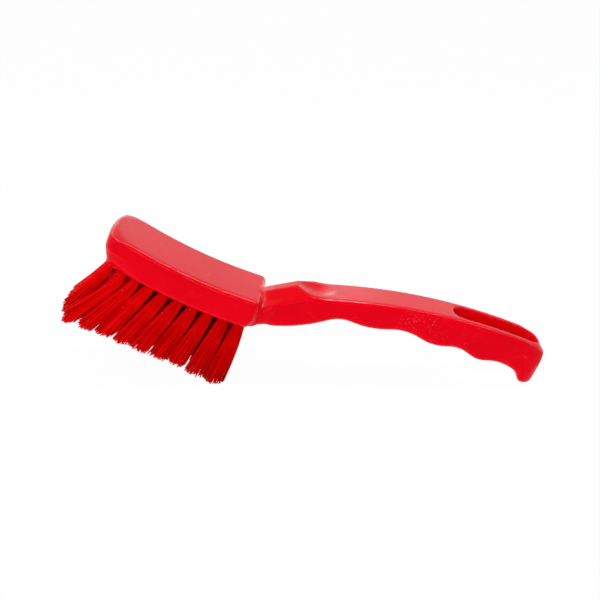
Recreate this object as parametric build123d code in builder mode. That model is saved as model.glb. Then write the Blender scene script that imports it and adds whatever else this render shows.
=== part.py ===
from build123d import *
import math
import os

# Short-handled grout brush: one moulded block and handle, fanned tufts, steel anchors
# Millimetres. U runs along the block from toe to tail, V up from the plane of the bristle tips.
# The finished brush stands on its heel tufts and on the hook of its tail, so U and V are pitched
# against the row frame: +X from toe to tail, +Z up, the floor at zero.

# Brush block
block_length = 90.2
block_width = 46.4
block_thickness = 17.1
underside_bow_radius = 310
top_bow_radius = 290
bow_low_share = 0.69
toe_crown = 2.5
toe_corner_radius = 17
heel_corner_radius = 4
block_edge_radius = 3
underside_chamfer = 2

# Neck and thumb rest
neck_length = 15.2
neck_root_depth = 9
ridge_rise = 29.6
ridge_width = 8
ridge_slope = 34.4
shoulder_slope = 30
flare_length = 9.3
flare_spread = 3.9
thumb_rest_length = 20.6
thumb_dish_radius = 22
thumb_dish_margin = 0.8

# Grip and tail
grip_length = 141.4
grip_width = 28.6
crown_rise = 53.4
crown_drop = 20.3
tail_corner_radius = 9.5
tail_edge_setback = 7
tail_lean = 4
grip_edge_radius = 3
hook_width = 8.6
hook_rise = 29.0
hook_tip_radius = 2.5
finger_edge_chamfer = 1.8
finger_line_slope = 12.5
# Where one arc of the finger line meets the next, from the heel to the hook:
# share of the handle's length, share of its rise
finger_line_shares = [
    (0.000, 0.027),
    (0.244, 0.380),
    (0.318, 0.456),
    (0.455, 0.540),
    (0.564, 0.576),
    (0.669, 0.611),
    (0.746, 0.620),
    (0.816, 0.629),
    (0.905, 0.654),
]

# Hanging slot
slot_length = 48.5
slot_width = 16.7
slot_corner_radius = 7
slot_end_wall = 9.3
slot_rim_chamfer = 0.6

# Tufts
bristle_reach = 36.4
tuft_rows = 5
tuft_columns = 9
toe_column_rows = 3
heel_tuft_setback = 6.6
toe_tuft_setback = 5.8
side_tuft_setback = 6
hole_radius = 2.75
hole_sides = 12
hole_depth = 11.5
plug_clearance = 0.05
plug_recess = 0.4
tip_row_spread = 1.2
heel_tip_setback = 9
toe_tip_reach = 9
corner_tip_reach = 6
tip_spread_radius = 3.4
plug_sides = 6
strand_radius = 0.7
strand_sides = 3
outer_strand_count = 6
strand_embed = 1
strand_inset = 0.1
tip_flat_depth = 0.5

# Anchors
anchor_bite = 0.3
anchor_height = 2.2
anchor_thickness = 0.5
anchor_fold = 0.7

# One overrun for every cut
overrun = 3


# Heights and stations along the block and the handle
heel_u = block_length
peak_u = heel_u + neck_length
tail_u = peak_u + grip_length
root_u = heel_u - neck_root_depth
crown_start_u = peak_u + thumb_rest_length
crown_level_u = tail_u - tail_edge_setback
crown_run = crown_level_u - crown_start_u
crown_radius = (crown_run**2 + crown_drop**2) / (2 * crown_drop)
handle_length = tail_u - heel_u
top_v = bristle_reach + crown_rise
column_pitch = (block_length - heel_tuft_setback - toe_tuft_setback) / tuft_columns
row_pitch = (block_width - 2 * side_tuft_setback) / (tuft_rows - 1)
tip_row_pitch = row_pitch + tip_row_spread
plug_radius = hole_radius - plug_clearance
anchor_width = 2 * (hole_radius + anchor_bite)
root_ring_radius = plug_radius - strand_radius - strand_inset
peak_v = bristle_reach + ridge_rise
hook_v = bristle_reach + hook_rise
bow_low_u = bow_low_share * block_length
block_top_v = bristle_reach + block_thickness


def on_arc(u, low_u, low_v, radius):
    """Height of an upward-curving arc whose lowest point is (low_u, low_v)."""
    return low_v + radius - math.sqrt(radius**2 - (u - low_u) ** 2)


def underside_v(u):
    """Height of the block's underside at station u."""
    return on_arc(u, bow_low_u, bristle_reach, underside_bow_radius)


def crown_v(u):
    """Height of the crowned top of the grip at station u."""
    return top_v - crown_radius + math.sqrt(crown_radius**2 - (u - crown_level_u) ** 2)


# Rest pose: the line that touches the hook and shaves the heel tips
heel_tip_u = heel_u - heel_tip_setback
heel_corner_u = heel_tip_u + tip_spread_radius + strand_radius
hook_reach = tail_u - finger_edge_chamfer - heel_corner_u
pitch = math.atan2(hook_v, hook_reach) - math.asin(tip_flat_depth / math.hypot(hook_reach, hook_v))
toe_tip_u = -toe_tip_reach
strand_flat = strand_radius * math.cos(math.pi / strand_sides)
toe_end_x = (toe_tip_u - tip_spread_radius - strand_flat) * math.cos(pitch)
lean = math.radians(tail_lean)
rim_v = crown_v(tail_u) - grip_edge_radius
rim_u = tail_u - (rim_v - hook_v) * math.tan(lean) - grip_edge_radius / math.cos(lean)
tail_end_x = rim_u * math.cos(pitch) + rim_v * math.sin(pitch) + grip_edge_radius
origin = Vector(
    -(toe_end_x + tail_end_x) / 2,
    0,
    heel_corner_u * math.sin(pitch) - tip_flat_depth,
)
along = Vector(math.cos(pitch), 0, -math.sin(pitch))
across = Vector(0, 1, 0)
upward = Vector(math.sin(pitch), 0, math.cos(pitch))
side_plane = Plane(origin=origin, x_dir=along, z_dir=-across)
plan_plane = Plane(origin=origin, x_dir=along, z_dir=upward)
wall_rise = upward * math.cos(lean) - along * math.sin(lean)
floor_plane = Plane.XY


def at(u, y, v):
    """Point of the brush in the row frame."""
    return origin + along * u + across * y + upward * v


def station(shape):
    """Distance of a shape's centre from the toe, along the brush."""
    return (shape.center() - origin).dot(along)


def height(shape):
    """Height of a shape's centre above the plane of the bristle tips."""
    return (shape.center() - origin).dot(upward)


# Ridge of the neck, its shoulders and the ball that scoops the thumb dish
ridge_angle = math.radians(ridge_slope)
ridge_plane = Plane(
    origin=at(peak_u, 0, peak_v),
    x_dir=across,
    z_dir=along * math.cos(ridge_angle) + upward * math.sin(ridge_angle),
)
shoulder_drop = (grip_width - ridge_width / 2) * math.tan(math.radians(shoulder_slope))
dish_front = at(peak_u + thumb_dish_margin, 0, peak_v)
dish_back_u = crown_start_u + thumb_dish_margin
dish_back = at(dish_back_u, 0, crown_v(dish_back_u))
dish_chord = dish_back - dish_front
dish_centre = (dish_front + dish_back) * 0.5 + dish_chord.normalized().cross(across) * math.sqrt(
    thumb_dish_radius**2 - (dish_chord.length / 2) ** 2
)


def near_crown(edge):
    """Whether an edge of the grip belongs to its top rather than to the finger line."""
    return height(edge) > crown_v(station(edge)) - grip_edge_radius


def in_slot(edge):
    """Whether an edge lies on a rim of the hanging slot."""
    from_end = tail_u - slot_end_wall + slot_rim_chamfer - station(edge)
    within = 0 < from_end < slot_length + 2 * slot_rim_chamfer
    return within and abs(edge.center().Y) < (slot_width + slot_rim_chamfer) / 2


# Tuft stations: mouth of each hole on the underside, and the centre of the tuft's tips
def tuft_stations():
    """List of (name, column, mouth point, tip point) for every tuft."""
    stations = []
    middle_row = (tuft_rows - 1) / 2
    for row in range(tuft_rows):
        side = row - middle_row
        has_toe_tuft = abs(side) <= (toe_column_rows - 1) / 2
        first = 0 if has_toe_tuft else 1
        reach = toe_tip_reach if has_toe_tuft else corner_tip_reach
        tip_step = (heel_tip_u + reach) / (tuft_columns - first)
        for column in range(first, tuft_columns + 1):
            from_heel = tuft_columns - column
            mouth_u = heel_u - heel_tuft_setback - from_heel * column_pitch
            tip_u = heel_tip_u - from_heel * tip_step
            mouth = at(mouth_u, side * row_pitch, underside_v(mouth_u))
            tip = at(tip_u, side * tip_row_pitch, 0)
            stations.append((f"tuft_r{row + 1}_c{column}", column, mouth, tip))
    return stations


def hole_plane(mouth, tip, depth):
    """Plane square to a tuft, facing its tips, at a depth below the mouth of its hole."""
    out = (tip - mouth).normalized()
    lengthwise = (along - out * along.dot(out)).normalized()
    return Plane(origin=mouth - out * depth, x_dir=lengthwise, z_dir=out)


def tuft_strands(mouth, tip):
    """Strands of one tuft: a middle one, and a ring that widens from the plug to the trimmed tips."""
    root_plane = hole_plane(mouth, tip, plug_recess + strand_embed)
    turns = [math.tau * place / outer_strand_count for place in range(outer_strand_count)]
    spots = [(0, 0)] + [(math.cos(turn), math.sin(turn)) for turn in turns]
    strands = []
    for lengthwise, sideways in spots:
        root = (
            root_plane.origin
            + root_plane.x_dir * lengthwise * root_ring_radius
            - root_plane.y_dir * sideways * root_ring_radius
        )
        end = (
            tip
            + along * lengthwise * tip_spread_radius
            + across * sideways * tip_spread_radius
        )
        section = Plane(origin=end, x_dir=along, z_dir=upward) * RegularPolygon(
            strand_radius, strand_sides
        )
        run = root - end
        strands.append(
            extrude(section, amount=run.length, dir=run.normalized(), mode=Mode.PRIVATE)
        )
    return strands


stations = tuft_stations()
mouth_planes = [hole_plane(mouth, tip, -overrun) for _, _, mouth, tip in stations]
anchor_depth = hole_depth - anchor_fold
anchor_planes = [hole_plane(mouth, tip, anchor_depth) for _, _, mouth, tip in stations]

# Block: plan outline, bowed above and below
with BuildPart() as block:
    with BuildSketch(plan_plane.offset(bristle_reach - block_thickness)):
        with BuildLine():
            Polyline(
                (toe_crown, block_width / 2),
                (heel_u, block_width / 2),
                (heel_u, -block_width / 2),
                (toe_crown, -block_width / 2),
            )
            ThreePointArc((toe_crown, -block_width / 2), (0, 0), (toe_crown, block_width / 2))
        make_face()
        fillet(vertices().group_by(Axis((0, 0, 0), along))[0], toe_corner_radius)
        fillet(vertices().group_by(Axis((0, 0, 0), along))[-1], heel_corner_radius)
    extrude(amount=crown_rise)
    with BuildSketch(side_plane):
        with BuildLine():
            low_arc = ThreePointArc(
                (-overrun, on_arc(-overrun, bow_low_u, bristle_reach, underside_bow_radius)),
                (bow_low_u, bristle_reach),
                (heel_u + overrun, underside_v(heel_u + overrun)),
            )
            top_arc = ThreePointArc(
                (-overrun, on_arc(-overrun, bow_low_u, block_top_v, top_bow_radius)),
                (bow_low_u, block_top_v),
                (
                    heel_u + overrun,
                    on_arc(heel_u + overrun, bow_low_u, block_top_v, top_bow_radius),
                ),
            )
            Line(low_arc @ 0, top_arc @ 0)
            Line(low_arc @ 1, top_arc @ 1)
        make_face()
    extrude(amount=block_width, both=True, mode=Mode.INTERSECT)
    rims = edges().filter_by(Axis((0, 0, 0), upward), reverse=True)
    top_rims = rims.filter_by(
        lambda edge: height(edge) > underside_v(station(edge)) + block_thickness / 2
    )
    fillet(top_rims, block_edge_radius)
    chamfer(rims - top_rims, underside_chamfer)

# Neck and grip: side outline, narrowed to its plan, with the ridge, thumb dish and slot
with BuildPart() as grip:
    with BuildSketch(side_plane):
        with BuildLine():
            finger_points = [
                (heel_u + along_share * handle_length, bristle_reach + rise_share * crown_rise)
                for along_share, rise_share in finger_line_shares
            ]
            heading = Vector(1, 0).rotate(Axis.Z, finger_line_slope)
            finger_points.append((tail_u - hook_width, hook_v))
            for start, end in zip(finger_points, finger_points[1:]):
                heading = TangentArc(start, end, tangent=heading) % 1
            crown_points = [
                (u, crown_v(u))
                for u in (crown_start_u, crown_level_u, tail_u + overrun)
            ]
            crown = ThreePointArc(*crown_points)
            rest = TangentArc(crown @ 0, (peak_u, peak_v), tangent=-(crown % 0))
            ramp_foot_v = peak_v - (peak_u - root_u) * math.tan(math.radians(ridge_slope))
            Polyline(
                rest @ 1,
                (root_u, ramp_foot_v),
                (root_u, finger_points[0][1]),
                finger_points[0],
            )
            Polyline(finger_points[-1], (tail_u + overrun, hook_v), crown @ 1)
        make_face()
        hook_tip = vertices().filter_by_position(Axis.Y, hook_v, hook_v).sort_by(Axis.X)[0]
        fillet(hook_tip, hook_tip_radius)
    extrude(amount=grip_width, both=True)
    with BuildSketch(plan_plane.offset(hook_v)):
        with BuildLine():
            half = grip_width / 2
            wall = Line((tail_u - tail_corner_radius, half), (heel_u + flare_length, half))
            flare = TangentArc(wall @ 1, (heel_u, half + flare_spread), tangent=(-1, 0))
            Polyline(flare @ 1, (root_u, half + flare_spread), (root_u, 0))
            corner = RadiusArc(wall @ 0, (tail_u, half - tail_corner_radius), tail_corner_radius)
            Line(corner @ 1, (tail_u, 0))
            mirror(about=Plane.XZ)
        make_face()
    extrude(amount=top_v, dir=wall_rise, both=True, mode=Mode.INTERSECT)
    sides = edges().filter_by(Axis((0, 0, 0), wall_rise), reverse=True)
    sides = sides.filter_by(Axis((0, 0, 0), across), reverse=True)
    sides = sides.filter_by(lambda edge: station(edge) > peak_u)
    rims = sides + edges().filter_by(Axis((0, 0, 0), across)).sort_by(station)[-2:]
    crown_rims = rims.filter_by(near_crown)
    chamfer(rims - crown_rims, finger_edge_chamfer)
    fillet(crown_rims, grip_edge_radius)
    with BuildSketch(ridge_plane):
        with BuildLine():
            Polyline(
                (ridge_width / 2, 0),
                (grip_width, -shoulder_drop),
                (grip_width, grip_width),
                (ridge_width / 2, grip_width),
                close=True,
            )
        make_face()
        mirror(about=Plane.YZ)
    extrude(amount=neck_length + neck_root_depth + overrun, both=True, mode=Mode.SUBTRACT)
    with Locations(dish_centre):
        Sphere(thumb_dish_radius, rotation=(90, 0, 0), mode=Mode.SUBTRACT)
    with BuildSketch(plan_plane):
        with Locations((tail_u - slot_end_wall - slot_length / 2, 0)):
            RectangleRounded(slot_length, slot_width, slot_corner_radius)
    extrude(amount=top_v + overrun, mode=Mode.SUBTRACT)
    slot_rims = edges().filter_by(Axis((0, 0, 0), upward), reverse=True).filter_by(in_slot)
    chamfer(slot_rims.filter_by(near_crown), slot_rim_chamfer)

# One moulding, drilled for the tufts
with BuildPart() as handle_block:
    add(block.part)
    add(grip.part)
    with BuildSketch(*mouth_planes):
        RegularPolygon(hole_radius, hole_sides)
    extrude(amount=-hole_depth - overrun, mode=Mode.SUBTRACT)
handle_block.part.label = "handle_block"

# Anchors: one flat steel staple across the foot of every tuft, its ends pressed into the hole's wall
with BuildPart() as tuft_anchors:
    with BuildSketch(*anchor_planes):
        Rectangle(anchor_width, anchor_thickness)
    extrude(amount=anchor_height)
tuft_anchors.part.label = "tuft_anchors"

os.makedirs("parts", exist_ok=True)
export_step(handle_block.part, "parts/handle_block.step")
export_step(tuft_anchors.part, "parts/tuft_anchors.step")

# Tufts: a plug folded round its anchor, and strands that fan from it to the trimmed tips
for name, column, mouth, tip in stations:
    strands = tuft_strands(mouth, tip)
    with BuildPart() as tuft:
        with BuildSketch(hole_plane(mouth, tip, hole_depth - plug_clearance)):
            RegularPolygon(plug_radius, plug_sides)
        extrude(amount=hole_depth - plug_clearance - plug_recess)
        with BuildSketch(hole_plane(mouth, tip, hole_depth - anchor_fold)):
            Rectangle(anchor_width, anchor_thickness)
        extrude(amount=anchor_height, mode=Mode.SUBTRACT)
        add(strands)
        if column == tuft_columns:
            split(bisect_by=floor_plane, keep=Keep.TOP)
    tuft.part.label = name
    export_step(tuft.part, f"parts/{name}.step")
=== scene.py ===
"""Red grout brush: one moulded block and handle, drilled and filled with fanned nylon tufts.

The moulding and the tufts are finished pieces that stand for the CAD solids. The steel anchors
at the foot of each hole are the CAD's own. Every size is in metres, in the frame of the CAD.
"""

import logging
import math
import random
from dataclasses import dataclass, field
from enum import Enum

import bmesh
import bpy
from mathutils import Matrix, Vector


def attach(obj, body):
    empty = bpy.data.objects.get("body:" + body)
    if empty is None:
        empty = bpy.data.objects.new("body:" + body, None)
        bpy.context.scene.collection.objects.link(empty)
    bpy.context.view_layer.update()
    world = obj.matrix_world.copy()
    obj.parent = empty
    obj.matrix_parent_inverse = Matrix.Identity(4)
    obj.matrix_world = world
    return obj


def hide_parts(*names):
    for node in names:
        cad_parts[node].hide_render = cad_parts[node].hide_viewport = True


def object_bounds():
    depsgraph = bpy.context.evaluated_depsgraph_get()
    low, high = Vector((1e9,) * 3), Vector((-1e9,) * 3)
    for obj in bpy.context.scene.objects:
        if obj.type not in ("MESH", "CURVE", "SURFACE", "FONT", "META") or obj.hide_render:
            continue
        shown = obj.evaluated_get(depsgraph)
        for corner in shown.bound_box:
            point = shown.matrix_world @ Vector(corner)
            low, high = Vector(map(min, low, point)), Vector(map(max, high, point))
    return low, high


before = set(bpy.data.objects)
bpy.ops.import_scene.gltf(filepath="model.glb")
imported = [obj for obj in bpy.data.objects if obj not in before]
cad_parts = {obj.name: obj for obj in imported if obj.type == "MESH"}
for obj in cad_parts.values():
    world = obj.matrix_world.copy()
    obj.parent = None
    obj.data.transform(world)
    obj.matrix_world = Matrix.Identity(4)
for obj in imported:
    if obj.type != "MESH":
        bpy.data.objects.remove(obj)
cad_low, cad_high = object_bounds()

log = logging.getLogger("grout_brush")

MM = 0.001
Colour = tuple[float, float, float]


# Frame of the brush itself


@dataclass(frozen=True)
class BrushAxes:
    """The brush's own frame: u from toe to tail, y across, v up from the bristle tips."""

    pitch: float = math.radians(22.104)
    toe: Vector = field(default_factory=lambda: Vector((-124.157, 0.0, 31.597)) * MM)

    @property
    def along(self) -> Vector:
        """Direction from the toe to the tail."""
        return Vector((math.cos(self.pitch), 0.0, -math.sin(self.pitch)))

    @property
    def across(self) -> Vector:
        """Direction across the brush, away from the camera."""
        return Vector((0.0, 1.0, 0.0))

    @property
    def upward(self) -> Vector:
        """Direction from the bristle tips to the top of the block."""
        return Vector((math.sin(self.pitch), 0.0, math.cos(self.pitch)))

    def at(self, u: float, y: float, v: float) -> Vector:
        """Point of the brush in the frame of the CAD."""
        return self.toe + self.along * u + self.across * y + self.upward * v

    def matrix(self) -> Matrix:
        """Matrix that takes the brush's own frame to the frame of the CAD."""
        turn = Matrix((self.along, self.across, self.upward)).transposed()
        return Matrix.Translation(self.toe) @ turn.to_4x4()


# Node board: short ways to lay out nodes


class Board:
    """A node tree that a finish or an effect is laid out on."""

    def __init__(self, tree: bpy.types.NodeTree) -> None:
        """Keep the tree.

        Args:
            tree: The node tree of a material, a world or a group.
        """
        self.tree = tree

    def add(self, kind: str, settings: dict | None = None, **sockets) -> bpy.types.Node:
        """Add a node.

        Args:
            kind: The node's type, without its ShaderNode beginning.
            settings: Properties of the node by name.
            sockets: Input values or sockets by name, spaces written as underscores.

        Returns:
            The new node.
        """
        node = self.tree.nodes.new("ShaderNode" + kind)
        for name, value in (settings or {}).items():
            setattr(node, name, value)
        for name, value in sockets.items():
            self.feed(value, node.inputs[name.replace("_", " ")])
        return node

    def feed(self, value: object, target: bpy.types.NodeSocket) -> None:
        """Link a socket to an input, or set the input's own value."""
        if isinstance(value, bpy.types.NodeSocket):
            self.tree.links.new(value, target)
        else:
            target.default_value = value

    def math(self, operation: str, *values: object, clamp: bool = False) -> bpy.types.NodeSocket:
        """Add a math node and return its result."""
        node = self.add("Math", {"operation": operation, "use_clamp": clamp})
        for value, target in zip(values, node.inputs):
            self.feed(value, target)
        return node.outputs[0]

    def remap(
        self, value: object, low: float, high: float, to_low: float = 0.0, to_high: float = 1.0
    ) -> bpy.types.NodeSocket:
        """Map a value from one range to another, smoothly and clamped.

        Args:
            value: The socket to map.
            low: Start of its range.
            high: End of its range.
            to_low: Result at the start.
            to_high: Result at the end.

        Returns:
            The mapped value.
        """
        node = self.add("MapRange", {"interpolation_type": "SMOOTHSTEP"})
        for target, given in zip(node.inputs, (value, low, high, to_low, to_high)):
            self.feed(given, target)
        return node.outputs[0]

    def noise(
        self, vector: object, scale: object, detail: float = 2.0, roughness: float = 0.5
    ) -> bpy.types.NodeSocket:
        """Add a noise texture and return its value."""
        node = self.add(
            "TexNoise", Vector=vector, Scale=scale, Detail=detail, Roughness=roughness
        )
        return node.outputs[0]

    def blend(self, share: object, first: object, second: object) -> bpy.types.NodeSocket:
        """Mix two colours by a share and return the result."""
        node = self.add("Mix", {"data_type": "RGBA"})
        self.feed(share, node.inputs[0])
        self.feed(first, node.inputs[6])
        self.feed(second, node.inputs[7])
        return node.outputs[2]

    def effect(self, group: bpy.types.NodeTree, **sockets) -> bpy.types.Node:
        """Place an effect group with its own values."""
        return self.add("Group", {"node_tree": group}, **sockets)


def smooth_share(value: float, low: float, high: float) -> float:
    """Share from 0 to 1 that rises smoothly as a value goes from low to high."""
    share = min(1.0, max(0.0, (value - low) / (high - low)))
    return share * share * (3 - 2 * share)


def rgba(colour: Colour) -> tuple[float, float, float, float]:
    """Colour with its alpha."""
    return (*colour, 1.0)


# Shared effects


class Effects:
    """Shader node groups that several finishes use, each built once."""

    def __init__(self) -> None:
        """Build every group."""
        self.grain = self.moulded_grain()
        self.wear_and_highlight = self.edge_wear_and_highlight()
        self.dust = self.dust_specks()
        self.flow = self.flow_colour()
        self.scratches = self.fine_scratches()

    def group(
        self, name: str, inputs: dict[str, tuple[str, object]], outputs: dict[str, str]
    ) -> tuple[Board, dict[str, bpy.types.NodeSocket], bpy.types.Node]:
        """Start a group with named sockets.

        Args:
            name: The group's name.
            inputs: Socket type and default by input name.
            outputs: Socket type by output name.

        Returns:
            The board, the inputs' sockets by name, and the output node.
        """
        tree = bpy.data.node_groups.new(name, "ShaderNodeTree")
        for label, (kind, default) in inputs.items():
            socket = tree.interface.new_socket(
                name=label, in_out="INPUT", socket_type="NodeSocket" + kind
            )
            if default is not None:
                socket.default_value = default
        for label, kind in outputs.items():
            tree.interface.new_socket(
                name=label, in_out="OUTPUT", socket_type="NodeSocket" + kind
            )
        start = tree.nodes.new("NodeGroupInput")
        end = tree.nodes.new("NodeGroupOutput")
        return Board(tree), {s.name: s for s in start.outputs if s.name}, end

    def moulded_grain(self) -> bpy.types.NodeTree:
        """Fine grain and slow ripple of a moulded skin, as a height and as a mottle."""
        board, given, end = self.group(
            "moulded_grain",
            {
                "Vector": ("Vector", None),
                "Grain Scale": ("Float", 1500.0),
                "Ripple Scale": ("Float", 120.0),
                "Grain Share": ("Float", 0.35),
            },
            {"Height": "Float", "Mottle": "Float"},
        )
        fine = board.noise(given["Vector"], given["Grain Scale"], 3.0, 0.6)
        slow = board.noise(given["Vector"], given["Ripple Scale"], 2.0, 0.45)
        height = board.add("Mix", {"data_type": "FLOAT"})
        board.feed(given["Grain Share"], height.inputs[0])
        board.feed(slow, height.inputs[2])
        board.feed(fine, height.inputs[3])
        board.feed(height.outputs[0], end.inputs["Height"])
        mottle = board.math("MULTIPLY_ADD", fine, 0.4, board.math("MULTIPLY", slow, 0.6))
        board.feed(board.remap(mottle, 0.36, 0.64), end.inputs["Mottle"])
        return board.tree

    def edge_wear_and_highlight(self) -> bpy.types.NodeTree:
        """Broken mask along edges, from the piece's own edge attribute, for wear and for a painted
        highlight.
        """
        board, given, end = self.group(
            "edge_wear_and_highlight",
            {
                "Vector": ("Vector", None),
                "Edge": ("Float", 0.0),
                "Scale": ("Float", 260.0),
                "Reach": ("Float", 0.5),
            },
            {"Mask": "Float"},
        )
        broken = board.noise(given["Vector"], given["Scale"], 5.0, 0.65)
        shifted = board.math("ADD", given["Edge"], board.math("SUBTRACT", broken, 0.5))
        start = board.math("SUBTRACT", 1.0, given["Reach"])
        worn = board.math("SUBTRACT", shifted, start)
        mask = board.math("MULTIPLY", worn, 3.0, clamp=True)
        board.feed(mask, end.inputs["Mask"])
        return board.tree

    def dust_specks(self) -> bpy.types.NodeTree:
        """Scattered specks, each a small cell of its own strength."""
        board, given, end = self.group(
            "dust_specks",
            {
                "Vector": ("Vector", None),
                "Scale": ("Float", 700.0),
                "Size": ("Float", 0.22),
                "Share": ("Float", 0.15),
            },
            {"Mask": "Float"},
        )
        cells = board.add("TexVoronoi", Vector=given["Vector"], Scale=given["Scale"])
        inside = board.math("SUBTRACT", given["Size"], cells.outputs["Distance"])
        dot = board.math("MULTIPLY", inside, 9.0, clamp=True)
        tone = board.add("SeparateColor", Color=cells.outputs["Color"]).outputs[0]
        chosen = board.math("LESS_THAN", tone, given["Share"])
        board.feed(board.math("MULTIPLY", dot, chosen), end.inputs["Mask"])
        return board.tree

    def flow_colour(self) -> bpy.types.NodeTree:
        """Slow swirls between a deep, a body and a pale shade, as melt flow leaves them."""
        board, given, end = self.group(
            "flow_colour",
            {
                "Vector": ("Vector", None),
                "Scale": ("Float", 22.0),
                "Shift": ("Float", 0.0),
                "Deep": ("Color", (0.7, 0.0, 0.0, 1.0)),
                "Body": ("Color", (0.8, 0.0, 0.0, 1.0)),
                "Pale": ("Color", (0.9, 0.1, 0.1, 1.0)),
            },
            {"Colour": "Color"},
        )
        swirl = board.noise(given["Vector"], given["Scale"], 4.0, 0.55)
        moved = board.math("ADD", swirl, given["Shift"])
        low = board.blend(board.remap(moved, 0.28, 0.5), given["Deep"], given["Body"])
        high = board.blend(board.remap(moved, 0.5, 0.74), low, given["Pale"])
        board.feed(high, end.inputs["Colour"])
        return board.tree

    def fine_scratches(self) -> bpy.types.NodeTree:
        """Sparse hairline scratches, long in one direction and broken along it."""
        board, given, end = self.group(
            "fine_scratches",
            {
                "Vector": ("Vector", None),
                "Scale": ("Float", 60.0),
                "Stretch": ("Float", 14.0),
                "Width": ("Float", 0.012),
            },
            {"Mask": "Float"},
        )
        spread = board.add("CombineXYZ", X=1.0, Y=given["Stretch"], Z=given["Stretch"])
        stretched = board.add("VectorMath", {"operation": "MULTIPLY"})
        board.feed(given["Vector"], stretched.inputs[0])
        board.feed(spread.outputs[0], stretched.inputs[1])
        field_ = board.noise(stretched.outputs[0], given["Scale"], 1.0, 0.4)
        off = board.math("ABSOLUTE", board.math("SUBTRACT", field_, 0.5))
        line = board.math("SUBTRACT", 1.0, board.math("DIVIDE", off, given["Width"]), clamp=True)
        patches = board.noise(given["Vector"], board.math("MULTIPLY", given["Scale"], 1.7), 2.0)
        here = board.remap(patches, 0.58, 0.68)
        board.feed(board.math("MULTIPLY", line, here), end.inputs["Mask"])
        return board.tree


# Finishes


def principled(
    name: str,
) -> tuple[bpy.types.Material, Board, bpy.types.Node, bpy.types.NodeSocket]:
    """Start a material on Object coordinates.

    Args:
        name: The material's name.

    Returns:
        The material, its board, its Principled node and the Object coordinates.
    """
    material = bpy.data.materials.new(name)
    material.use_nodes = True
    board = Board(material.node_tree)
    shader = material.node_tree.nodes["Principled BSDF"]
    place = board.add("TexCoord").outputs["Object"]
    return material, board, shader, place


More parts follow.
